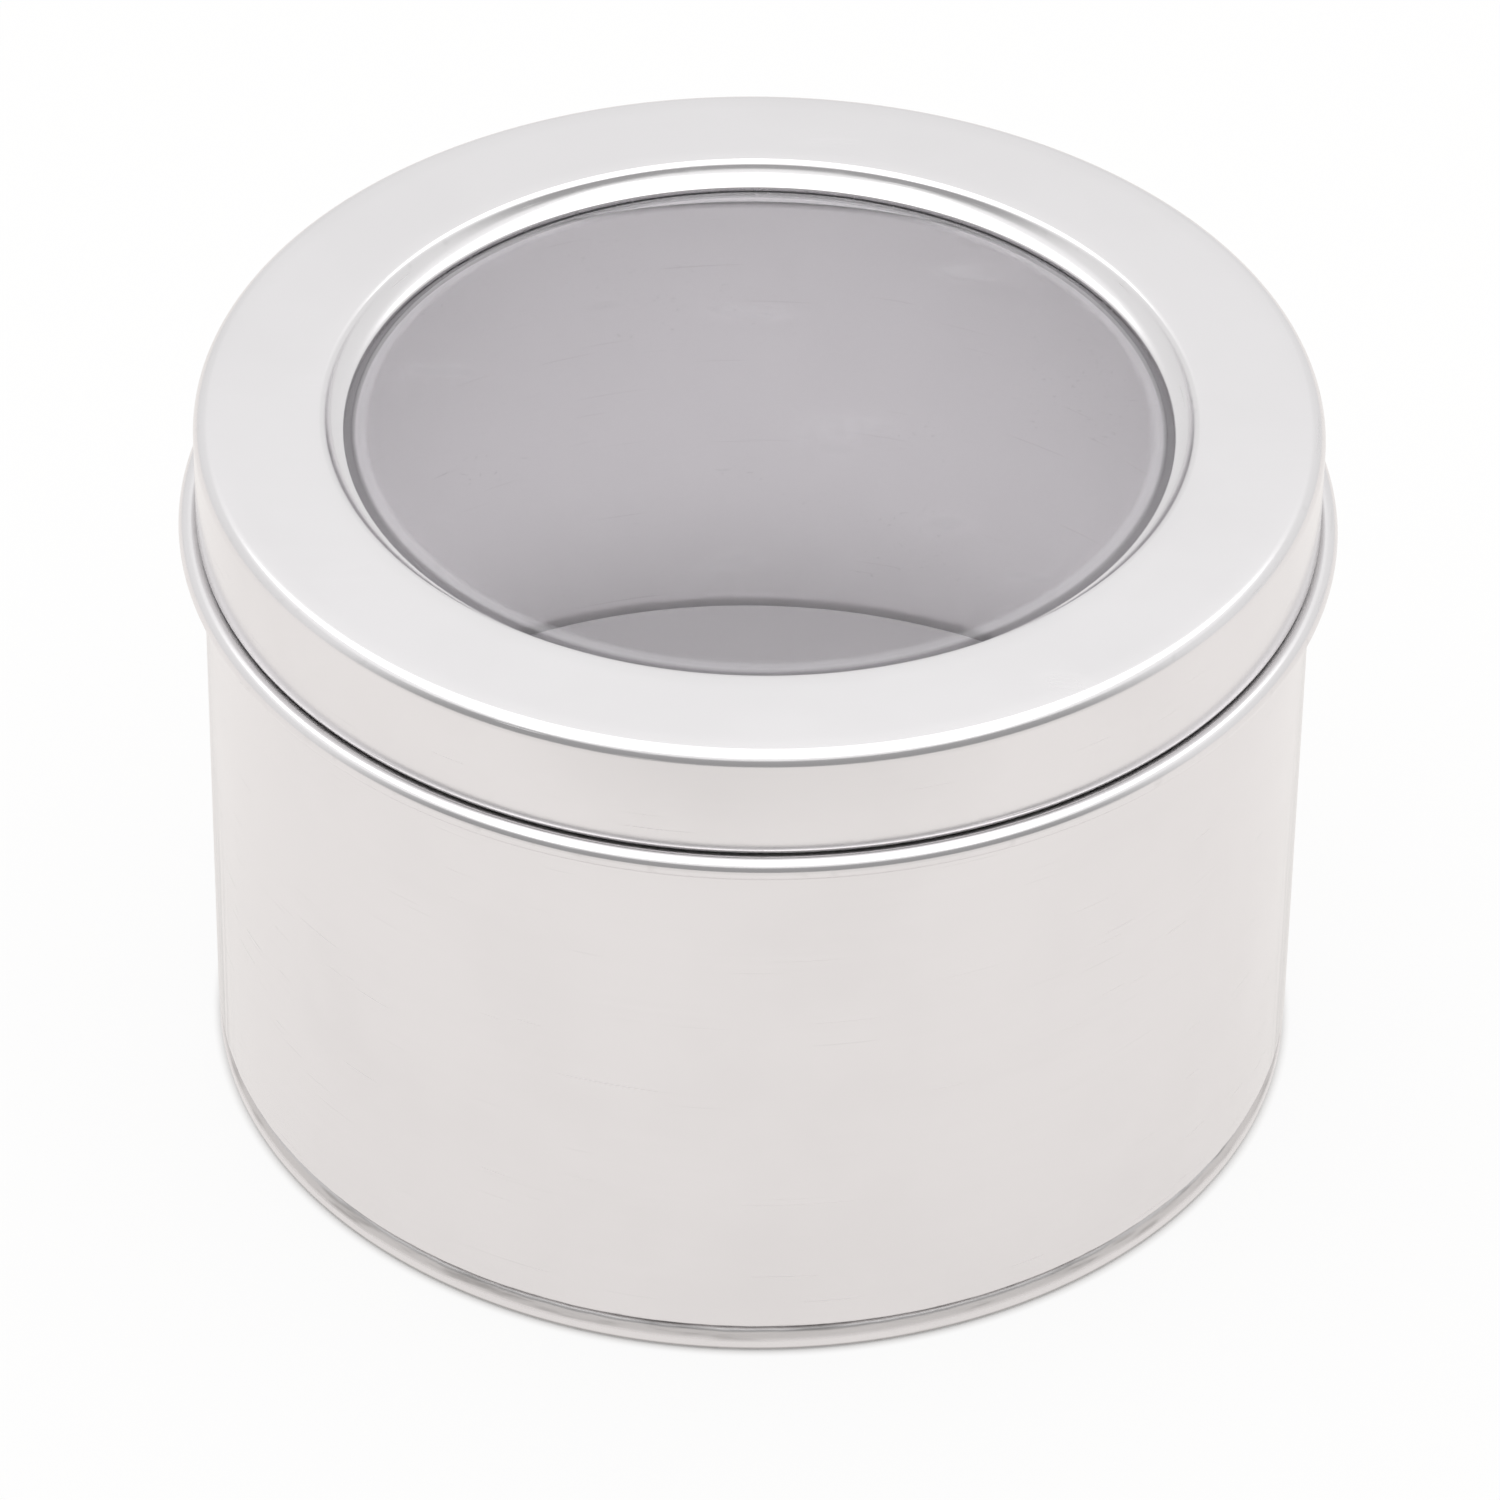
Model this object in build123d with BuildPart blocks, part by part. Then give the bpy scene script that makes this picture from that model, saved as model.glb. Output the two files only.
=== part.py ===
# Round slip-lid tin with a clear window in its lid.
# Every metal piece is one sheet, drawn as the centre line of its section and turned about the
# tin's axis. Radii of bends are radii of that centre line. The origin is the middle of the foot.
from build123d import *
from math import acos, cos, degrees, sin, radians, tan
import os

os.makedirs("parts", exist_ok=True)

# Driving sizes of the whole tin, in millimetres
wall_diameter = 88.0
tin_height = 60.0
lid_height = 9.4
window_diameter = 68.2
tinplate = 0.25
running_gap = 0.3
seat_gap = 0.1

# Foot: the base is folded round the body's edge in a double seam, flush with the wall
seam_height = 2.1
seam_recess = 0.05
seam_corner = 0.3
hook_corner = 0.175
hook_relief = 0.15
compound_height = 0.3
floor_height = 8.0
floor_corner = 0.4
shoulder_radius = 0.45
groove = 0.225

# Stop bead, neck and rolled rim of the body
bead_reach = 1.9
bead_radius = 0.8
bead_lean = 20
bead_root = 0.35
neck_in = 1.1
rim_drop = 0.7
rim_curl_radius = 0.475
rim_curl_turn = 285

# Lid: rolled edge, corner, and the step, dish and lip round the window
lid_curl_radius = 0.525
lid_curl_turn = 255
lid_corner = 1.075
step_radius = 0.525
step_slope = 61
dish_radius = 2.625
dish_slope = 22
lip_radius = 0.2
lip_slope = 85
lip_leg_length = 0.12

# Clear pane, with its middle raised into the window, and the ring that clamps its edge
pane_thickness = 0.3
pane_rise = 0.4
pane_bend = 0.3
pane_margin = 0.38
pane_play = 0.3
ring_set = 0.15
ring_corner = 0.375
ring_relief = 0.04

# Places that several pieces share
half_plate = tinplate / 2
wall_radius = wall_diameter / 2
wall_line = wall_radius - half_plate
foot_line = wall_radius - seam_recess - 3 * tinplate - half_plate
body_hook_line = foot_line + 2 * tinplate
end_hook_line = foot_line + tinplate
seam_wall_line = foot_line + 3 * tinplate
chuck_wall_line = foot_line - tinplate
seam_roll_z = seam_height - tinplate - half_plate
hook_floor_z = 2 * tinplate
compound_z = hook_floor_z + hook_corner - half_plate
end_hook_z = compound_z + compound_height
skirt_edge_z = tin_height - lid_height
neck_line = wall_radius - neck_in - half_plate
neck_radius = neck_line + half_plate
skirt_radius = neck_radius + running_gap + 2 * lid_curl_radius + tinplate
skirt_line = skirt_radius - half_plate
lid_curl_line = neck_radius + running_gap + half_plate + lid_curl_radius
lid_curl_z = skirt_edge_z + half_plate + lid_curl_radius
window_radius = window_diameter / 2


def s_turn(shift, bend):
    """Degrees that each half of an S bend turns through, to move a sheet sideways by shift."""
    return degrees(acos(1 - shift / (2 * bend)))


# Body wall: a rolled and welded tinplate tube
with BuildPart() as body_wall:
    with BuildSketch(Plane.XZ):
        with BuildLine():
            hook_top = seam_roll_z - hook_relief
            hook_foot = tinplate + half_plate + hook_corner
            hook = Line((body_hook_line, hook_top), (body_hook_line, hook_foot))
            hook_out = JernArc(hook @ 1, hook % 1, hook_corner, -90)
            hook_flat = PolarLine(hook_out @ 1, 2 * tinplate - 2 * hook_corner, direction=hook_out % 1)
            hook_in = JernArc(hook_flat @ 1, hook_flat % 1, hook_corner, -90)
            shoulder_z = seam_height + groove + half_plate - shoulder_radius
            shoulder_turn = s_turn(wall_line - foot_line, shoulder_radius)
            foot = Line(hook_in @ 1, (foot_line, shoulder_z))
            shoulder_low = JernArc(foot @ 1, foot % 1, shoulder_radius, -shoulder_turn)
            shoulder_high = JernArc(shoulder_low @ 1, shoulder_low % 1, shoulder_radius, shoulder_turn)
            bead_centre = wall_line + bead_reach - bead_radius
            seat = lid_curl_radius + tinplate + seat_gap + bead_radius
            lean = radians(bead_lean)
            bead_in = bead_centre - (lid_curl_line + seat * sin(lean))
            bead_centre_z = lid_curl_z - seat * cos(lean) + bead_in * tan(lean)
            bead_foot_z = bead_centre_z - bead_radius
            plain = Line(shoulder_high @ 1, (wall_line, bead_foot_z - bead_root))
            root_low = JernArc(plain @ 1, plain % 1, bead_root, -90)
            bead_low = Line(root_low @ 1, (bead_centre, bead_foot_z))
            bead = JernArc(bead_low @ 1, bead_low % 1, bead_radius, 180 + bead_lean)
            valley = (bead @ 1).X - neck_line - bead_root * (1 + sin(lean))
            bead_high = PolarLine(bead @ 1, valley / cos(lean), direction=bead % 1)
            root_high = JernArc(bead_high @ 1, bead_high % 1, bead_root, -90 - bead_lean)
            rim_z = tin_height - rim_drop - rim_curl_radius - half_plate
            neck = Line(root_high @ 1, (neck_line, rim_z))
            JernArc(neck @ 1, neck % 1, rim_curl_radius, rim_curl_turn)
        trace(line_width=tinplate)
    revolve(axis=Axis.Z)

# Base plate: a drawn disc whose edge is folded round the body's hook
with BuildPart() as base_plate:
    with BuildSketch(Plane.XZ):
        with BuildLine():
            floor_z = floor_height - half_plate
            seam_foot_z = half_plate + seam_corner
            seam_flat_length = 4 * tinplate - 2 * seam_corner
            floor = Line((0, floor_z), (chuck_wall_line - floor_corner, floor_z))
            floor_bend = JernArc(floor @ 1, floor % 1, floor_corner, -90)
            chuck_wall = Line(floor_bend @ 1, (chuck_wall_line, seam_foot_z))
            seam_in = JernArc(chuck_wall @ 1, chuck_wall % 1, seam_corner, 90)
            seam_flat = PolarLine(seam_in @ 1, seam_flat_length, direction=seam_in % 1)
            seam_out = JernArc(seam_flat @ 1, seam_flat % 1, seam_corner, 90)
            seam_wall = Line(seam_out @ 1, (seam_wall_line, seam_roll_z))
            seam_roll = JernArc(seam_wall @ 1, seam_wall % 1, tinplate, 180)
            Line(seam_roll @ 1, (end_hook_line, end_hook_z))
        trace(line_width=tinplate)
    revolve(axis=Axis.Z)

# Lining compound: the soft ring that fills the fold under the base plate's hook
with BuildPart() as base_seam_compound:
    with BuildSketch(Plane.XY.offset(compound_z)):
        Circle(end_hook_line + half_plate)
        Circle(end_hook_line - half_plate, mode=Mode.SUBTRACT)
    extrude(amount=compound_height)

# Lid shell: one pressed sheet with a rolled edge and a stepped hole for the window
with BuildPart() as lid_shell:
    with BuildSketch(Plane.XZ):
        with BuildLine():
            corner_z = tin_height - half_plate - lid_corner
            steep = radians(step_slope)
            window_line = window_radius + half_plate * sin(steep)
            skirt = Line((skirt_line, corner_z), (skirt_line, lid_curl_z))
            JernArc(skirt @ 1, skirt % 1, lid_curl_radius, -lid_curl_turn)
            corner = JernArc(skirt @ 0, (0, 1), lid_corner, 90)
            panel_end = window_line + step_radius * sin(steep)
            panel = Line(corner @ 1, (panel_end, tin_height - half_plate))
            step = JernArc(panel @ 1, panel % 1, step_radius, step_slope)
            dish = JernArc(step @ 1, step % 1, dish_radius, dish_slope - step_slope)
            lip = JernArc(dish @ 1, dish % 1, lip_radius, lip_slope - dish_slope)
            lip_leg = PolarLine(lip @ 1, lip_leg_length, direction=lip % 1)
        trace(line_width=tinplate)
    revolve(axis=Axis.Z)

# The lip's raw edge bears on the pane, and the clamp ring's flared wall lies against the
# outside of the step, up to its steepest place
lip_down = lip_leg % 1
lip_foot_z = (lip_leg @ 1).Y - half_plate * abs(lip_down.X)
lip_inner_radius = (lip_leg @ 1).X - half_plate * abs(lip_down.Y)
grip_radius = (step @ 1).X + tinplate * sin(steep)
grip_z = (step @ 1).Y - tinplate * cos(steep)

# The ring's shelf lies under the pane, whose top face meets the lip
flange_z = lip_foot_z - pane_thickness / 2
ring_z = flange_z - pane_thickness / 2 - half_plate
ring_corner_radius = grip_radius - (grip_z - ring_z) / tan(steep)

# Window pane: clear sheet with a formed step, so that its middle stands up inside the lip
with BuildPart() as window_pane:
    with BuildSketch(Plane.XZ):
        with BuildLine():
            pane_turn = s_turn(pane_rise, pane_bend)
            step_run = 2 * pane_bend * sin(radians(pane_turn))
            flat_radius = lip_inner_radius - pane_margin - step_run
            pane_flat = Line((0, flange_z + pane_rise), (flat_radius, flange_z + pane_rise))
            pane_step_high = JernArc(pane_flat @ 1, pane_flat % 1, pane_bend, -pane_turn)
            pane_step_low = JernArc(pane_step_high @ 1, pane_step_high % 1, pane_bend, pane_turn)
            Line(pane_step_low @ 1, (ring_corner_radius - pane_play, flange_z))
        trace(line_width=pane_thickness)
    revolve(axis=Axis.Z)

# Window clamp ring: pressed on round the outside of the step, it holds the pane to the lip
with BuildPart() as window_clamp_ring:
    with BuildSketch(Plane.XZ):
        with BuildLine():
            shelf_end = ring_corner_radius - ring_corner * tan(steep / 2)
            shelf = Line((lip_inner_radius + ring_set, ring_z), (shelf_end, ring_z))
            ring_bend = JernArc(shelf @ 1, shelf % 1, ring_corner, step_slope)
            rise = grip_z - (ring_bend @ 1).Y
            PolarLine(ring_bend @ 1, rise / sin(steep) - ring_relief, direction=ring_bend % 1)
        trace(line_width=tinplate)
    revolve(axis=Axis.Z)

body_wall.part.label = "body_wall"
base_plate.part.label = "base_plate"
base_seam_compound.part.label = "base_seam_compound"
lid_shell.part.label = "lid_shell"
window_pane.part.label = "window_pane"
window_clamp_ring.part.label = "window_clamp_ring"

export_step(body_wall.part, "parts/body_wall.step")
export_step(base_plate.part, "parts/base_plate.step")
export_step(base_seam_compound.part, "parts/base_seam_compound.step")
export_step(lid_shell.part, "parts/lid_shell.step")
export_step(window_pane.part, "parts/window_pane.step")
export_step(window_clamp_ring.part, "parts/window_clamp_ring.step")
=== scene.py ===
import bmesh
import bpy
from math import acos, cos, degrees, pi, radians, sin, tan
from mathutils import Matrix, Vector, noise


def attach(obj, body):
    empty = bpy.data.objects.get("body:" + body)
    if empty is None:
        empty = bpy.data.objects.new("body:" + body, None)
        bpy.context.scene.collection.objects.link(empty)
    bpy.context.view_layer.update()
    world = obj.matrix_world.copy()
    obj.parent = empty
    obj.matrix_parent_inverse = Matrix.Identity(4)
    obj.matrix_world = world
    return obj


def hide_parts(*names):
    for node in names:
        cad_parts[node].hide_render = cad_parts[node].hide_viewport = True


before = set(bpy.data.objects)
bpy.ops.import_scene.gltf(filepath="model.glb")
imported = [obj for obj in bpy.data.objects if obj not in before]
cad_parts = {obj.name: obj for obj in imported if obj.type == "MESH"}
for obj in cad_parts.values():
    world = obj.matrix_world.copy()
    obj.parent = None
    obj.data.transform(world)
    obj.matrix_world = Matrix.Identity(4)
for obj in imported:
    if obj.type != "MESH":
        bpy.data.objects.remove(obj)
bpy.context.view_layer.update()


# Body wall: a strip of tinplate rolled to a tube and welded along one side, then beaded,
# drawn in to a neck and curled over at the rim. Its foot is drawn in and hooked outwards,
# so that the base can be folded round it. The pieces' sizes are in millimetres.
millimetre = 0.001
wall_diameter = 88.0
tin_height = 60.0
lid_height = 9.4
tinplate = 0.25
hook_corner = 0.175
hook_top = 1.575
foot_inset = 0.8
seam_height = 2.1
groove = 0.225
shoulder_radius = 0.45
seat_gap = 0.1
bead_reach = 1.9
bead_radius = 0.8
bead_lean = 20
bead_root = 0.35
neck_in = 1.1
running_gap = 0.3
rim_drop = 0.7
rim_curl_radius = 0.475
rim_curl_turn = 285
lid_curl_radius = 0.525
weld_heading = 20
weld_width = 0.9
weld_height = 0.05
weld_zone = 6
weld_steps = 36
round_steps = 288
crease_angle = 40

half_sheet = tinplate / 2
wall_line = wall_diameter / 2 - half_sheet
foot_line = wall_line - foot_inset
neck_line = wall_line - neck_in
skirt_edge_z = tin_height - lid_height


def put_in_scene(name, data):
    """Makes an object and links it to the scene."""
    placed = bpy.data.objects.new(name, data)
    bpy.context.scene.collection.objects.link(placed)
    return placed


class SheetLine:
    """The centre line of a sheet's section, drawn as a path and turned about the tin's axis."""

    def __init__(self, radius, height, heading):
        self.mesh = bmesh.new()
        self.tip = self.mesh.verts.new((radius, 0, height))
        self.heading = heading

    def ahead(self, turn=0):
        angle = radians(self.heading + turn)
        return Vector((cos(angle), 0, sin(angle)))

    def run(self, length):
        """A straight stretch, along the heading."""
        step = self.ahead() * length
        self.tip = bmesh.ops.extrude_vert_indiv(self.mesh, verts=[self.tip])["verts"][0]
        bmesh.ops.translate(self.mesh, verts=[self.tip], vec=step)

    def run_to_radius(self, radius):
        self.run((radius - self.tip.co.x) / self.ahead().x)

    def run_to_height(self, height):
        self.run((height - self.tip.co.z) / self.ahead().z)

    def bend(self, radius, turn, degrees_a_step=9):
        """An arc of that centre-line radius. A positive turn is to the left."""
        left = 90 if turn > 0 else -90
        centre = self.tip.co + self.ahead(left) * radius
        steps = max(3, round(abs(turn) / degrees_a_step))
        made = bmesh.ops.spin(self.mesh, geom=[self.tip], cent=centre, axis=(0, -1, 0),
                              angle=radians(turn), steps=steps)
        self.tip = made["geom_last"][0]
        self.heading += turn

    def shift(self, sideways, radius):
        """An S bend that moves the sheet sideways, to the right of its heading."""
        turn = degrees(acos(1 - abs(sideways) / (2 * radius)))
        first = -turn if sideways > 0 else turn
        self.bend(radius, first, degrees_a_step=14)
        self.bend(radius, -first, degrees_a_step=14)

    def back_to(self, vertex, heading):
        """Goes on from an earlier place, in a new heading."""
        self.tip = vertex
        self.heading = heading

    def turn_round(self, fine_turn=0, fine_steps=0):
        """Turns the section once round the axis, with finer steps over fine_turn at the weld."""
        start = weld_heading + fine_turn / 2
        bmesh.ops.rotate(self.mesh, verts=self.mesh.verts[:], cent=(0, 0, 0),
                         matrix=Matrix.Rotation(radians(start), 3, "Z"))
        whole = fine_turn == 0
        section = self.mesh.verts[:] + self.mesh.edges[:]
        made = bmesh.ops.spin(self.mesh, geom=section, axis=(0, 0, 1), cent=(0, 0, 0),
                              angle=radians(360 - fine_turn), steps=round_steps, use_merge=whole)
        if not whole:
            bmesh.ops.spin(self.mesh, geom=made["geom_last"], axis=(0, 0, 1), cent=(0, 0, 0),
                           angle=radians(fine_turn), steps=fine_steps)
        bmesh.ops.remove_doubles(self.mesh, verts=self.mesh.verts[:], dist=0.0001)
        bmesh.ops.recalc_face_normals(self.mesh, faces=self.mesh.faces[:])

    def make(self, name, thickness):
        """Makes the object in metres, with the sheet's thickness and crisp cut edges."""
        bmesh.ops.scale(self.mesh, verts=self.mesh.verts[:],
                        vec=(millimetre, millimetre, millimetre))
        line = bpy.data.meshes.new(name + "_line")
        self.mesh.to_mesh(line)
        self.mesh.free()
        piece = put_in_scene(name, line)
        wall = piece.modifiers.new("thickness", "SOLIDIFY")
        wall.thickness = thickness * millimetre
        wall.offset = 0
        wall.use_even_offset = True
        wall.use_quality_normals = True
        shaped = piece.evaluated_get(bpy.context.evaluated_depsgraph_get())
        piece.data = bpy.data.meshes.new_from_object(shaped)
        piece.modifiers.clear()
        piece.data.shade_smooth()
        piece.data.set_sharp_from_angle(angle=radians(crease_angle))
        return piece


def smooth_step(none_at, full_at, value):
    """0 at none_at, 1 at full_at and a smooth rise between."""
    share = min(1, max(0, (value - none_at) / (full_at - none_at)))
    return share * share * (3 - 2 * share)


def unevenness(place, slow, quick, quick_share):
    """A soft ripple of the metal, between about -1 and 1."""
    return noise.noise(place * slow) + quick_share * noise.noise(place * quick)


body_line = SheetLine(foot_line + 2 * tinplate, hook_top, -90)
body_line.run_to_height(tinplate + half_sheet + hook_corner)
body_line.bend(hook_corner, -90, degrees_a_step=18)
body_line.run(2 * tinplate - 2 * hook_corner)
body_line.bend(hook_corner, -90, degrees_a_step=18)
body_line.run_to_height(seam_height + groove + half_sheet - shoulder_radius)
body_line.shift(foot_inset, shoulder_radius)
bead_centre = wall_line + bead_reach - bead_radius
lid_curl_line = neck_line + running_gap + tinplate + lid_curl_radius
lid_curl_z = skirt_edge_z + half_sheet + lid_curl_radius
seat = lid_curl_radius + tinplate + seat_gap + bead_radius
lean = radians(bead_lean)
bead_in = bead_centre - (lid_curl_line + seat * sin(lean))
bead_centre_z = lid_curl_z - seat * cos(lean) + bead_in * tan(lean)
body_line.run_to_height(bead_centre_z - bead_radius - bead_root)
body_line.bend(bead_root, -90)
body_line.run_to_radius(bead_centre)
body_line.bend(bead_radius, 180 + bead_lean)
body_line.run_to_radius(neck_line + bead_root * (1 + sin(lean)))
body_line.bend(bead_root, -90 - bead_lean)
body_line.run_to_height(tin_height - rim_drop - rim_curl_radius - half_sheet)
body_line.bend(rim_curl_radius, rim_curl_turn)
body_line.turn_round(weld_zone, weld_steps)

# The weld stands a little proud of the plain wall, the hook leans in with the seam, and the
# groove above the seam is slightly uneven. A pair says where a form starts and is full.
weld_edge = (0.62, 0.38)
weld_low_z = (3.0, 3.6)
weld_high_z = (48.4, 47.8)
off_the_wall = (0.5, 0.3)
lean_low_z = (0.6, 2.0)
lean_high_z = (2.4, 2.1)
hook_layers = (foot_line + 0.15, foot_line + 0.5)
hook_lean = 0.16
groove_z = 2.6
groove_reach = (1.0, 0.2)
groove_ripple = 0.03

weld_out = Vector((cos(radians(weld_heading)), sin(radians(weld_heading)), 0))
weld_across = Vector((-weld_out.y, weld_out.x, 0))
for point in body_line.mesh.verts:
    flat = Vector((point.co.x, point.co.y, 0))
    outwards = flat.normalized()
    if flat.dot(weld_out) > 0:
        across = smooth_step(*weld_edge, abs(flat.dot(weld_across)) / weld_width)
        along = smooth_step(*weld_low_z, point.co.z) * smooth_step(*weld_high_z, point.co.z)
        on_wall = smooth_step(*off_the_wall, abs(flat.length - wall_line))
        point.co += outwards * weld_height * across * along * on_wall
    seam_lean = smooth_step(*lean_low_z, point.co.z) * smooth_step(*lean_high_z, point.co.z)
    outer_layers = smooth_step(*hook_layers, flat.length)
    point.co -= outwards * hook_lean * seam_lean * outer_layers
    near_groove = smooth_step(*groove_reach, abs(point.co.z - groove_z))
    ripple = unevenness(flat, 0.9, 2.3, 0.5)
    point.co += outwards * groove_ripple * ripple * near_groove

body_sheet = body_line.make("body_sheet", tinplate)


class Wire:
    """A number or colour socket. Arithmetic on it adds Math nodes."""

    def __init__(self, nodes, socket):
        self.nodes = nodes
        self.socket = socket

    def math(self, operation, *terms):
        sockets = dict(enumerate(terms))
        return self.nodes.add("Math", {"operation": operation}, sockets)

    def __add__(self, other):
        return self.math("ADD", self, other)

    def __sub__(self, other):
        return self.math("SUBTRACT", self, other)

    def __mul__(self, other):
        return self.math("MULTIPLY", self, other)

    def __truediv__(self, other):
        return self.math("DIVIDE", self, other)

    def __pow__(self, other):
        return self.math("POWER", self, other)

    def __rsub__(self, other):
        return self.math("SUBTRACT", other, self)

    def __abs__(self):
        return self.math("ABSOLUTE", self)

    __radd__ = __add__
    __rmul__ = __mul__

    def step(self, none_at, full_at):
        """0 at none_at, 1 at full_at and a smooth rise between."""
        rising = none_at < full_at
        ends = {"Value": self,
                "From Min": min(none_at, full_at), "From Max": max(none_at, full_at),
                "To Min": 0.0 if rising else 1.0, "To Max": 1.0 if rising else 0.0}
        return self.nodes.add("MapRange", {"interpolation_type": "SMOOTHSTEP"}, ends)


class Nodes:
    """A node tree that starts empty. Places in it are in metres."""

    def __init__(self, owner):
        owner.use_nodes = True
        self.owner = owner
        self.tree = owner.node_tree
        self.tree.nodes.clear()

    def add(self, kind, settings=None, sockets=None, output=0):
        """Adds a node: its settings first, then the values or links of its sockets."""
        made = self.tree.nodes.new("ShaderNode" + kind)
        for name, value in (settings or {}).items():
            setattr(made, name, value)
        for name, value in (sockets or {}).items():
            if isinstance(value, Wire):
                self.tree.links.new(value.socket, made.inputs[name])
            else:
                made.inputs[name].default_value = value
        if len(made.outputs) > 0:
            return Wire(self, made.outputs[output])

    def part(self, vector, axis):
        """One of the three numbers of a place or a direction."""
        return self.add("SeparateXYZ", None, {"Vector": vector}, axis)

    def along(self, vector, direction):
        """How far a vector goes in a direction."""
        return self.add("VectorMath", {"operation": "DOT_PRODUCT"},
                        {0: vector, 1: direction}, "Value")

    def level(self, place):
        """A place without its height."""
        return self.add("VectorMath", {"operation": "MULTIPLY"}, {0: place, 1: (1, 1, 0)})

    def length(self, vector):
        return self.add("VectorMath", {"operation": "LENGTH"}, {0: vector}, "Value")

    def noise(self, place, scale, detail=2.0, roughness=0.5):
        return self.add("TexNoise", None, {"Vector": place, "Scale": scale, "Detail": detail,
                                           "Roughness": roughness}, "Fac")

    def rubs(self, place, scale, none_at, full_at):
        """Small patches where a surface is rubbed."""
        return self.noise(place, scale, detail=3.0).step(none_at, full_at)

    def hairlines(self, place, way):
        """Sparse short straight marks, in one of several directions."""
        turn = (0.5 + 0.9 * way, 0.9 - 0.7 * way, 0.4 + 1.3 * way)
        grain = (60, 140, 5200)
        laid = self.add("Mapping", None, {"Vector": place, "Rotation": turn, "Scale": grain})
        return self.noise(laid, 1.0, detail=1.0, roughness=0.4).step(0.735, 0.79)

    def blend(self, share, first, second):
        """A colour between two, by share."""
        return self.add("Mix", {"data_type": "RGBA"}, {0: share, 6: first, 7: second}, 2)


def tinplate_nodes(name, grain):
    """Starts a tinplate material. It returns its nodes, the place on it and the metal's marks."""
    nodes = Nodes(bpy.data.materials.new(name))
    place = nodes.add("TexCoord", None, None, "Object")
    clouds = nodes.noise(place, 70.0, detail=3.0)
    stretched = nodes.add("Mapping", None, {"Vector": place, "Scale": grain})
    rolled = nodes.noise(stretched, 1.0, detail=4.0, roughness=0.65)
    scratches = nodes.hairlines(place, 0) + nodes.hairlines(place, 1)
    return nodes, place, (clouds, rolled, scratches)


def finish_tinplate(nodes, marks, wear_and_shade, grime_and_shade, inside, coat_and_shade, coat_roughness):
    """Joins the marks in one metal shader. The tin's inside has a matt protective coat. Wear,
    grime and coat also carry painted shade on some pieces.
    """
    clouds, rolled, scratches = marks
    bright = (0.835, 0.820, 0.828, 1)
    dull = (0.785, 0.770, 0.777, 1)
    worn_and_shaded = (0.640, 0.625, 0.625, 1)
    dirt_and_shade_dark = (0.160, 0.155, 0.150, 1)
    mark_depth = 0.00001
    shade = nodes.blend(clouds.step(0.35, 0.75) * 0.45 + rolled * 0.35, bright, dull)
    shade = nodes.blend(inside, shade, coat_and_shade)
    # the worn colour also stands for painted shade where a piece's wear carries it
    colour = nodes.blend((wear_and_shade * 0.55 + scratches * 0.3).step(0.0, 1.0), shade, worn_and_shaded)
    # the dark colour also serves as painted shade in crevices, grooves and along contact lines
    colour = nodes.blend(grime_and_shade, colour, dirt_and_shade_dark)
    roughness = 0.125 + clouds * 0.05 + rolled * 0.05 + wear_and_shade * 0.14 + scratches * 0.1
    roughness = roughness + inside * coat_roughness
    relief = rolled * 0.35 + clouds * 2.0 - scratches * 0.3 - wear_and_shade * 0.3
    normal = nodes.add("Bump", None,
                       {"Strength": 1.0, "Distance": mark_depth, "Height": relief})
    metal = nodes.add("BsdfPrincipled", None, {"Base Color": colour, "Metallic": 1.0,
                                               "Roughness": roughness, "Normal": normal})
    nodes.add("OutputMaterial", None, {"Surface": metal})
    return nodes.owner


# The body is rubbed on the bead, the foot and the weld, and has painted shade in the crevice above
# the bead and in the groove. A pair in metres says where a mark starts and is full.
tube_grain = (45, 45, 2600)
pale_coat = (0.985, 0.985, 0.985, 1)
coat_matt = 0.3
inner_face = (-0.012, -0.03)
weld_band_reach = (0.0007, 0.0004)
weld_half = (0.0, 0.01)
bead_edge_z = 0.04985
bead_rub_reach = (0.0008, 0.0002)
foot_rub_z = (0.0032, 0.0008)
crevice_radius = (0.0449, 0.0445)
crevice_low_z = (0.0498, 0.0500)
crevice_high_z = (0.0514, 0.0509)
groove_low_z = (0.0020, 0.0023)
groove_high_z = (0.0029, 0.0026)

nodes, place, marks = tinplate_nodes("tinplate_body", tube_grain)
height = nodes.part(place, "Z")
facing = nodes.add("TexCoord", None, None, "Normal")
level_place = nodes.level(place)
off_axis = nodes.length(level_place)
inside = nodes.along(facing, level_place).step(*inner_face)
from_weld = abs(nodes.along(place, weld_across))
weld_band = from_weld.step(*weld_band_reach) * nodes.along(place, weld_out).step(*weld_half)
rubs = nodes.rubs(place, 900.0, 0.5, 0.72)
bead_rub = abs(height - bead_edge_z).step(*bead_rub_reach) * rubs
foot_rub = height.step(*foot_rub_z) * rubs
wear_and_shade = bead_rub * 0.5 + foot_rub * 0.6 + weld_band * 0.7
# painted shade in the crevice above the bead, under the lid's curled edge
crevice_shade = off_axis.step(*crevice_radius) * height.step(*crevice_low_z)
crevice_shade = crevice_shade * height.step(*crevice_high_z)
# painted shade along the groove above the seam, patchy
groove_shade = height.step(*groove_low_z) * height.step(*groove_high_z)
grime_and_shade = (crevice_shade * 0.25 + groove_shade * (0.05 + 0.3 * rubs)) * (1 - inside)
body_sheet.data.materials.append(
    finish_tinplate(nodes, marks, wear_and_shade, grime_and_shade, inside, pale_coat, coat_matt))
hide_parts("body_wall")
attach(body_sheet, "tin_body")


# Base plate: a tinplate disc pressed up inside the foot. Its edge is folded round the body's
# hook in a double seam, flush with the wall, and the tin stands on the seam.
floor_z = 7.875
floor_rings = (10, 20, 30, 36)
floor_corner = 0.4
chuck_wall_line = 42.825
seam_corner = 0.3
seam_flat = 0.4
seam_rings_z = (0.7, 0.95, 1.2, 1.45)
seam_roll_z = 1.725
end_hook_z = 0.85

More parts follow.
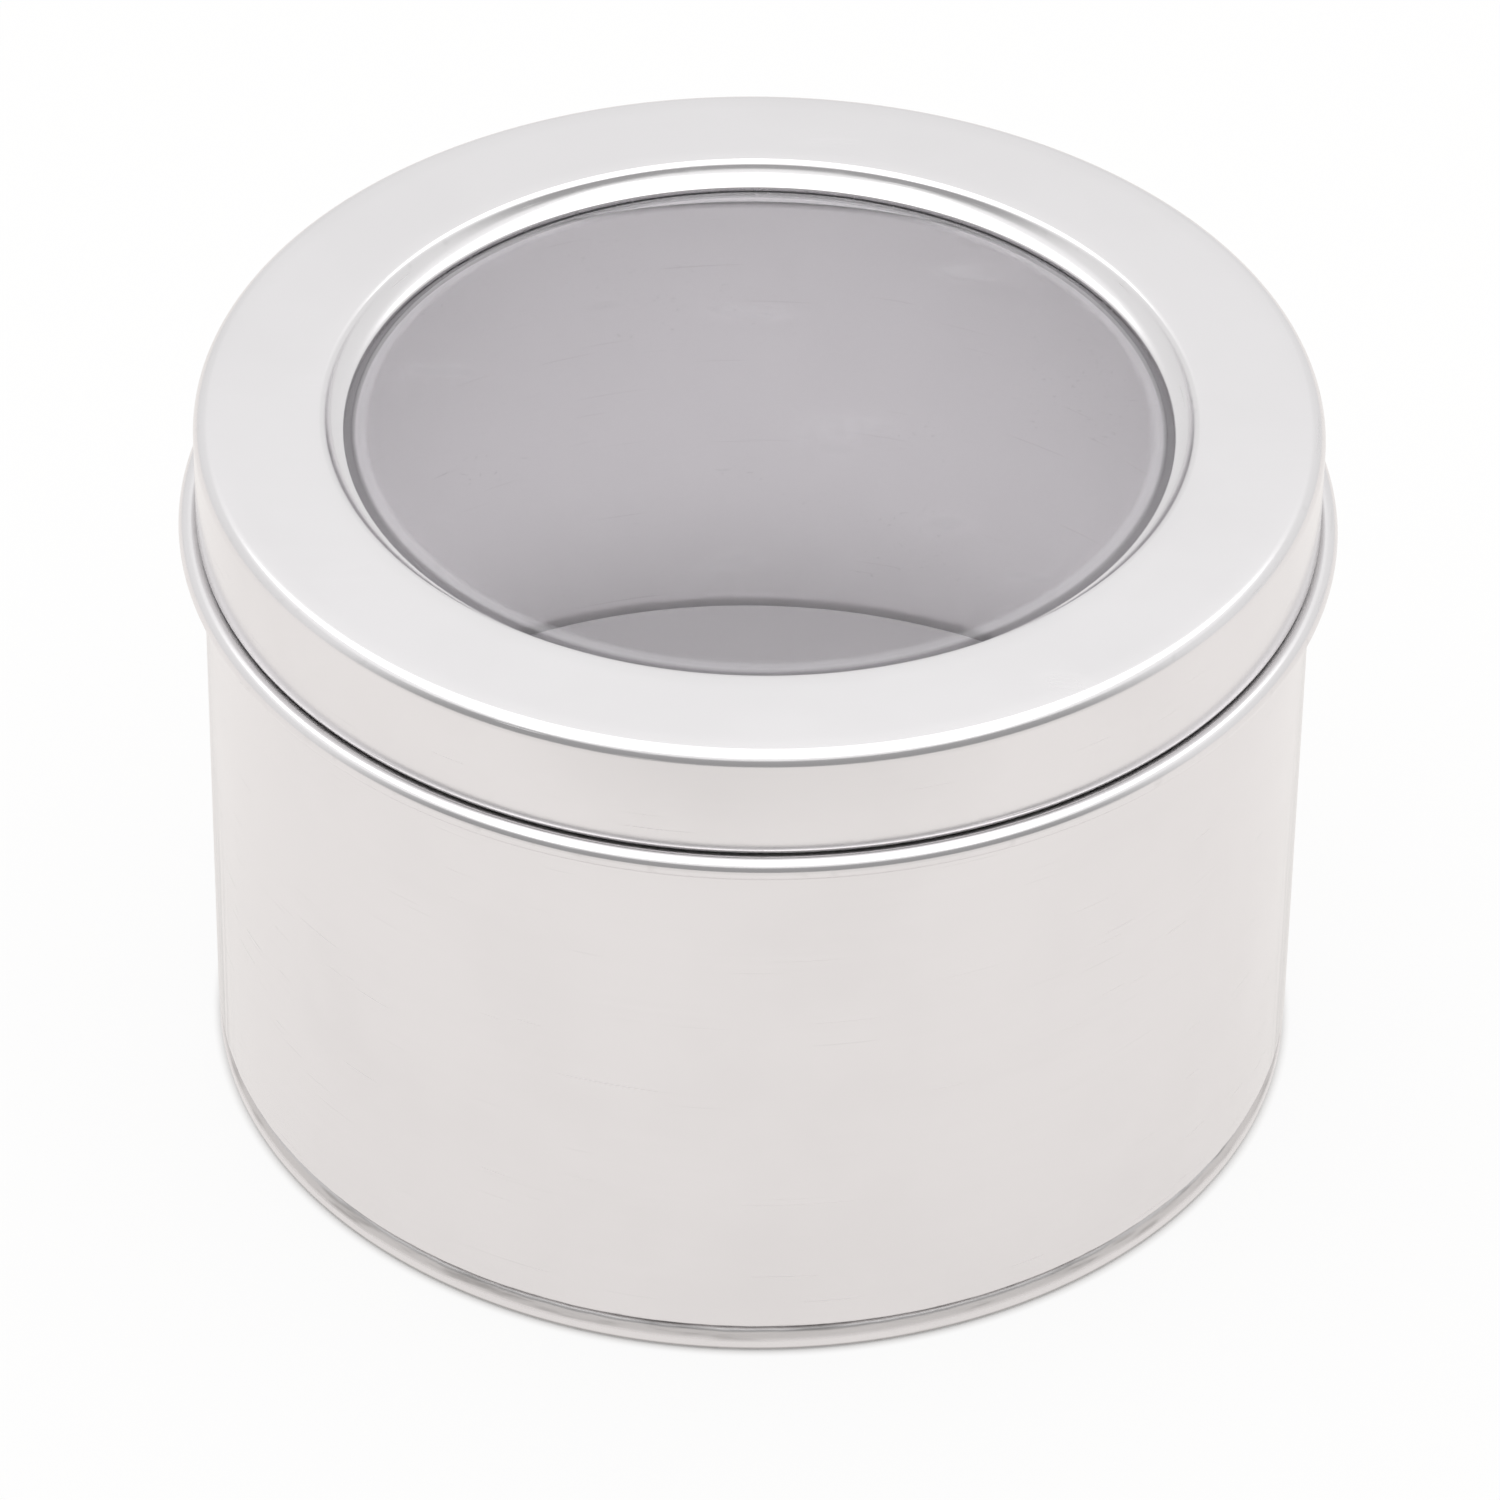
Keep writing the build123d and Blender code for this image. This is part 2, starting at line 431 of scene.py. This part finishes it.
base_line = SheetLine(0, floor_z, 0)
for ring_radius in floor_rings:
    base_line.run_to_radius(ring_radius)
base_line.run_to_radius(chuck_wall_line - floor_corner)
base_line.bend(floor_corner, -90)
base_line.run_to_height(half_sheet + seam_corner)
base_line.bend(seam_corner, 90)
base_line.run(seam_flat)
base_line.bend(seam_corner, 90)
for ring_z in seam_rings_z:
    base_line.run_to_height(ring_z)
base_line.run_to_height(seam_roll_z)
base_line.bend(tinplate, 180, degrees_a_step=15)
base_line.run_to_height(end_hook_z)
base_line.turn_round()

# The seam leans in towards its top and is slightly uneven, as the rollers leave it
seam_layers = (foot_line + 0.15, foot_line + 0.7)
roller_lean = 0.22
roller_ripple = 0.03
edge_ripple = 0.035
for point in base_line.mesh.verts:
    flat = Vector((point.co.x, point.co.y, 0))
    outer_layers = smooth_step(*seam_layers, flat.length)
    seam_lean = smooth_step(*lean_low_z, point.co.z)
    ripple = unevenness(flat, 0.7, 1.9, 0.6)
    lean_in = roller_lean + roller_ripple * ripple
    point.co -= flat.normalized() * lean_in * seam_lean * outer_layers
    point.co.z += edge_ripple * ripple * seam_lean * outer_layers
base_sheet = base_line.make("base_sheet", tinplate)

# The rollers leave a rubbed band round the seam, also painted darker as shade; the sole is worn,
# with a painted contact shadow along its bottom; and the floor's coat has painted shade near its
# edge
sheet_grain = (45, 2600, 2600)
band_grain = (150, 150, 1500)
band_low_z = (0.0008, 0.0014)
band_high_z = (0.0023, 0.0021)
sole_rub_z = (0.0007, 0.0001)
sole_shade_z = (0.0005, 0.0002)
floor_face_z = (0.00783, 0.00797)
floor_shade_zone = (0.0310, 0.0335)
floor_pale = (0.97, 0.97, 0.97, 1)
floor_edge_shade = (0.77, 0.77, 0.77, 1)
floor_matt = 0.75

nodes, place, marks = tinplate_nodes("tinplate_base", sheet_grain)
height = nodes.part(place, "Z")
rubs = nodes.rubs(place, 700.0, 0.45, 0.7)
long_marks = nodes.add("Mapping", None, {"Vector": place, "Scale": band_grain})
uneven = nodes.noise(long_marks, 1.0, detail=3.0)
# the rolled band is rubbed, and also painted darker as shade through its wear and grime
rolled_band = height.step(*band_low_z) * height.step(*band_high_z)
standing_rub = height.step(*sole_rub_z) * (0.4 + 0.6 * rubs)
wear_and_shade = standing_rub + rolled_band * (0.9 + 0.5 * uneven)
band_shade = rolled_band * (0.1 + uneven.step(0.5, 0.7) * 0.35)
# painted shade: a dark contact line along the bottom of the sole
grime_and_shade = height.step(*sole_shade_z) * 0.75 + band_shade
clouds, rolled, scratches = marks
marks = (clouds + rolled_band * uneven * 2.0, rolled, scratches)
inside = height.step(*floor_face_z)
# painted shade: the floor's coat turns grey towards the wall
floor_edge_shading = nodes.length(place).step(*floor_shade_zone)
floor_coat_and_shade = nodes.blend(floor_edge_shading, floor_pale, floor_edge_shade)
base_sheet.data.materials.append(
    finish_tinplate(nodes, marks, wear_and_shade, grime_and_shade, inside, floor_coat_and_shade, floor_matt))
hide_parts("base_plate")
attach(base_sheet, "tin_body")


# Seam compound: a soft lining ring, run into the base's curl before the seam is closed.
# It stays shut inside the fold, so its own solid is kept.
grit_dark = (0.36, 0.34, 0.30, 1)
grit_pale = (0.46, 0.44, 0.39, 1)
grit_depth = 0.00003

nodes = Nodes(bpy.data.materials.new("seam_compound"))
place = nodes.add("TexCoord", None, None, "Object")
grit = nodes.noise(place, 1500.0, detail=4.0)
colour = nodes.blend(grit, grit_dark, grit_pale)
normal = nodes.add("Bump", None, {"Strength": 0.6, "Distance": grit_depth, "Height": grit})
rubber = nodes.add("BsdfPrincipled", None,
                   {"Base Color": colour, "Roughness": 0.55 + grit * 0.2, "Normal": normal})
nodes.add("OutputMaterial", None, {"Surface": rubber})
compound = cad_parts["base_seam_compound"]
compound.data.materials.clear()
compound.data.materials.append(nodes.owner)


# Lid shell: one drawn pressing of tinplate. The skirt's edge is curled inwards, and round the
# hole in the top it goes down in a step and a dish to a lip that bears on the window.
skirt_line = 44.375
lid_curl_turn = 255
lid_corner = 1.075
panel_rings = (42, 40, 38, 36)
window_radius = 34.1
step_radius = 0.525
step_slope = 61
dish_radius = 2.625
dish_slope = 22
lip_radius = 0.2
lip_slope = 85
lip_leg = 0.12
steep = radians(step_slope)
panel_end = window_radius + (half_sheet + step_radius) * sin(steep)

lid_line = SheetLine(skirt_line, tin_height - half_sheet - lid_corner, -90)
skirt_top = lid_line.tip
lid_line.run_to_height(lid_curl_z)
lid_line.bend(lid_curl_radius, -lid_curl_turn)
lid_line.back_to(skirt_top, 90)
lid_line.bend(lid_corner, 90, degrees_a_step=6)
for ring_radius in panel_rings:
    lid_line.run_to_radius(ring_radius)
lid_line.run_to_radius(panel_end)
lid_line.bend(step_radius, step_slope, degrees_a_step=5)
lid_line.bend(dish_radius, dish_slope - step_slope, degrees_a_step=3)
lid_line.bend(lip_radius, lip_slope - dish_slope, degrees_a_step=8)
lid_line.run(lip_leg)
lid_line.turn_round()
lid_sheet = lid_line.make("lid_sheet", tinplate)

# The lid is rubbed round its corner and its rolled edge, has a little painted shade under that
# edge, and is coated on its underside
corner_low_z = (0.0590, 0.0596)
corner_high_z = (0.05999, 0.0599)
edge_rub_z = (0.0523, 0.0512)
edge_shade_z = (0.05095, 0.0507)
under_face = (-0.3, -0.7)

nodes, place, marks = tinplate_nodes("tinplate_lid", sheet_grain)
height = nodes.part(place, "Z")
rubs = nodes.rubs(place, 800.0, 0.52, 0.74)
corner_rub = height.step(*corner_low_z) * height.step(*corner_high_z) * rubs
edge_rub = height.step(*edge_rub_z) * (0.4 + 0.6 * rubs)
wear_and_shade = corner_rub * 0.5 + edge_rub * 0.7
# painted shade under the lid's curled edge
grime_and_shade = height.step(*edge_shade_z) * 0.15
facing = nodes.add("TexCoord", None, None, "Normal")
inside = nodes.part(facing, "Z").step(*under_face)
lid_sheet.data.materials.append(
    finish_tinplate(nodes, marks, wear_and_shade, grime_and_shade, inside, pale_coat, coat_matt))
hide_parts("lid_shell")
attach(lid_sheet, "lid")


# Window pane: a disc of clear plastic sheet. Its middle is formed up into the lip, and its
# flat edge is held between the lip and the clamp ring.
pane_thickness = 0.3
pane_middle_z = 58.395
pane_rings = (8, 16, 24)
pane_rise = 0.4
pane_bend = 0.3
pane_flat_radius = 31.692
pane_edge = 33.15

pane_line = SheetLine(0, pane_middle_z, 0)
for ring_radius in pane_rings:
    pane_line.run_to_radius(ring_radius)
pane_line.run_to_radius(pane_flat_radius)
pane_line.shift(pane_rise, pane_bend)
pane_line.run_to_radius(pane_edge)
pane_line.turn_round()
window_sheet = pane_line.make("window_sheet", pane_thickness)

# The sheet mirrors more at a grazing angle. Dust and hairlines lie on it as a thin veil, with a
# painted highlight along its bend and painted shade in the trench outside that line.
clear_tint = (1.0, 0.986, 1.0, 1)
head_on_gloss = 0.039
ripple_depth = 0.00003
trench_shade_start = (0.0316, 0.0321)
bend_highlight_inner = (0.0306, 0.0313)
bend_highlight_outer = (0.0319, 0.0315)
veil_pale = (0.80, 0.80, 0.82, 1)
trench_shade_colour = (0.06, 0.06, 0.065, 1)

nodes = Nodes(bpy.data.materials.new("clear_window"))
place = nodes.add("TexCoord", None, None, "Object")
ripple = nodes.noise(place, 45.0, detail=1.0)
hairlines = nodes.hairlines(place, 0) + nodes.hairlines(place, 2)
specks = nodes.noise(place, 2600.0, detail=0.0).step(0.77, 0.8)
dust = specks * nodes.noise(place, 90.0).step(0.5, 0.6)
haze = nodes.noise(place, 60.0, detail=4.0)
normal = nodes.add("Bump", None,
                   {"Strength": 0.5, "Distance": ripple_depth, "Height": ripple})
grazing = nodes.add("LayerWeight", None, {"Blend": 0.5, "Normal": normal}, "Facing")
mirrored = head_on_gloss + (1 - head_on_gloss) * grazing ** 5
open_air = nodes.add("BsdfTransparent", None, {"Color": clear_tint})
gloss = nodes.add("BsdfPrincipled", None,
                  {"Base Color": (1, 1, 1, 1), "Metallic": 1.0, "Normal": normal,
                   "Roughness": 0.03 + haze * 0.04 + hairlines * 0.2})
film = nodes.add("MixShader", None, {0: mirrored, 1: open_air, 2: gloss})
off_axis = nodes.length(nodes.level(place))
# painted shade in the trench outside the bend, and a painted highlight along the bend
trench_shade = off_axis.step(*trench_shade_start)
bend_highlight = off_axis.step(*bend_highlight_inner) * off_axis.step(*bend_highlight_outer)
veil_and_shade_colour = nodes.blend(trench_shade, veil_pale, trench_shade_colour)
veil = nodes.add("BsdfPrincipled", None, {"Base Color": veil_and_shade_colour, "Roughness": 0.6})
edge_highlight_and_shade = bend_highlight * 0.1 + trench_shade * 0.3
veil_share = haze * 0.012 + hairlines * 0.04 + dust * 0.05 + edge_highlight_and_shade
pane_surface = nodes.add("MixShader", None, {0: veil_share, 1: film, 2: veil})
nodes.add("OutputMaterial", None, {"Surface": pane_surface})
window_sheet.data.materials.append(nodes.owner)
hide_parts("window_pane")
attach(window_sheet, "lid")


# Window clamp ring: a flared ring of tinplate, pressed on round the outside of the lid's step
# from below. It grips by its fit and holds the pane's edge up against the lip.
ring_inner = 32.787
ring_shelf_z = 57.72
ring_corner_radius = 33.451
ring_corner = 0.375
ring_top_z = 59.448

ring_line = SheetLine(ring_inner, ring_shelf_z, 0)
ring_line.run_to_radius(ring_corner_radius - ring_corner * tan(steep / 2))
ring_line.bend(ring_corner, step_slope)
ring_line.run_to_height(ring_top_z)
ring_line.turn_round()
ring_sheet = ring_line.make("clamp_ring_sheet", tinplate)

nodes, place, marks = tinplate_nodes("tinplate_ring", sheet_grain)
rubs = nodes.rubs(place, 900.0, 0.5, 0.72)
wear_and_shade = rubs * 0.4
grime_and_shade = 0.0
inside = rubs * 0.5
ring_sheet.data.materials.append(
    finish_tinplate(nodes, marks, wear_and_shade, grime_and_shade, inside, pale_coat, coat_matt))
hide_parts("window_clamp_ring")
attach(ring_sheet, "lid")


# Table top: a matt white board that ends a little in front of the tin. Seen directly or in the
# metal it is lifted to white, but it keeps the tin's shadow and the line where the foot stands.
table_half_width = 2.4
table_half_depth = 1.4
table_in_front = 0.38
board_dark = (0.80, 0.785, 0.775, 1)
board_pale = (0.82, 0.805, 0.795, 1)
glow_warm = (1.0, 0.970, 0.945, 1)
glow_white = (1.0, 1.0, 1.0, 1)
front_zone = (-0.085, -0.13)
contact_radius = (0.0447, 0.0437)
lift = 0.78
camera_lift = 0.11
contact_drop = 0.7

table_mesh = bmesh.new()
bmesh.ops.create_grid(table_mesh, x_segments=8, y_segments=8, size=1.0)
bmesh.ops.scale(table_mesh, verts=table_mesh.verts[:], vec=(table_half_width, table_half_depth, 1))
bmesh.ops.translate(table_mesh, verts=table_mesh.verts[:],
                    vec=(0, table_half_depth - table_in_front, 0))
table_data = bpy.data.meshes.new("table_top")
table_mesh.to_mesh(table_data)
table_mesh.free()
table_top = put_in_scene("table_top", table_data)

nodes = Nodes(bpy.data.materials.new("white_board"))
place = nodes.add("TexCoord", None, None, "Object")
tooth = nodes.noise(place, 900.0, detail=3.0)
colour = nodes.blend(tooth, board_dark, board_pale)
board = nodes.add("BsdfPrincipled", None,
                  {"Base Color": colour, "Roughness": 0.9, "Specular IOR Level": 0.2})
camera_ray = nodes.add("LightPath", None, None, "Is Camera Ray")
glossy_ray = nodes.add("LightPath", None, None, "Is Glossy Ray")
clear_ray = nodes.add("LightPath", None, None, "Is Transmission Ray")
front = nodes.part(place, "Y").step(*front_zone)
glow_level = 0.94 + 0.06 * camera_ray - 0.1 * front * (1 - camera_ray)
glow_tint = nodes.blend(camera_ray, glow_warm, glow_white)
glow = nodes.add("Emission", None, {"Color": glow_tint, "Strength": glow_level})
at_foot = nodes.length(nodes.level(place)).step(*contact_radius)
lifted = (camera_ray + glossy_ray + clear_ray).step(0.0, 1.0)
seen = lifted * lift + camera_ray * camera_lift
seen = seen - camera_ray * at_foot * contact_drop
lit = nodes.add("MixShader", None, {0: seen, 1: board, 2: glow})
nodes.add("OutputMaterial", None, {"Surface": lit})
table_data.materials.append(nodes.owner)


# Studio: white walls and ceiling all round, but for the dark end of the room in front of the
# tin, and one large soft lamp overhead.
dark_end_side = (0.0, -0.6)
dark_end_top = (0.64, 0.55)
dark_end_drop = 0.48
wall_light = 0.84
wall_rise = (0.0, 0.5)
wall_gain = 0.04
ceiling_start = (0.53, 0.65)
ceiling_gain = 0.15

world = bpy.data.worlds.new("studio")
bpy.context.scene.world = world
nodes = Nodes(world)
look = nodes.add("TexCoord", None, None, "Generated")
look_x = nodes.part(look, "X")
look_y = nodes.part(look, "Y")
look_z = nodes.part(look, "Z")
level_part = (look_x * look_x + look_y * look_y + 0.000001) ** 0.5
towards_front = (look_y / level_part).step(*dark_end_side)
dark_end = towards_front * look_z.step(*dark_end_top)
camera_ray = nodes.add("LightPath", None, None, "Is Camera Ray")
clear_ray = nodes.add("LightPath", None, None, "Is Transmission Ray")
seen_white = (camera_ray + clear_ray).step(0.0, 1.0)
upper_wall = wall_gain * look_z.step(*wall_rise)
ceiling = ceiling_gain * look_z.step(*ceiling_start)
shade = wall_light + upper_wall + ceiling - dark_end_drop * dark_end
level = seen_white + shade - seen_white * shade
white = nodes.add("Background", None, {"Color": (1.0, 1.0, 1.0, 1), "Strength": level})
nodes.add("OutputWorld", None, {"Surface": white})

lamp_width = 1.5
lamp_place = (0, 0.05, 1.0)
lamp_glow = 0.75
lamp_data = bpy.data.lights.new("overhead_softbox", "AREA")
lamp_data.shape = "SQUARE"
lamp_data.size = lamp_width
lamp_data.energy = lamp_glow * pi * lamp_width ** 2
lamp = put_in_scene("overhead_softbox", lamp_data)
lamp.location = lamp_place
lamp.visible_camera = False


# Camera: a long lens at the photograph's angle. It stands back from the middle of the lid's
# edge and is then turned down a little, to the middle of the tin.
camera_lens = 206.4
camera_elevation = 36.594
camera_distance = 0.6817
pitch_down = 1.643
turn_left = 0.033
roll = 0.8

camera_data = bpy.data.cameras.new("camera")
camera_data.lens = camera_lens
camera_data.sensor_width = 36
camera = put_in_scene("camera", camera_data)
back = Vector((0, -cos(radians(camera_elevation)), sin(radians(camera_elevation))))
lid_edge_middle = Vector((0, 0, skirt_edge_z * millimetre))
stand = Matrix.Translation(lid_edge_middle + back * camera_distance)
aim = Matrix.Rotation(radians(90 - camera_elevation), 4, "X")
aim = aim @ Matrix.Rotation(radians(turn_left), 4, "Y")
aim = aim @ Matrix.Rotation(radians(-pitch_down), 4, "X")
aim = aim @ Matrix.Rotation(radians(roll), 4, "Z")
camera.matrix_world = stand @ aim
bpy.context.scene.camera = camera
bpy.context.scene.view_settings.view_transform = "Standard"
bpy.context.scene.cycles.max_bounces = 20
bpy.context.scene.cycles.glossy_bounces = 16
bpy.context.scene.cycles.transparent_max_bounces = 24
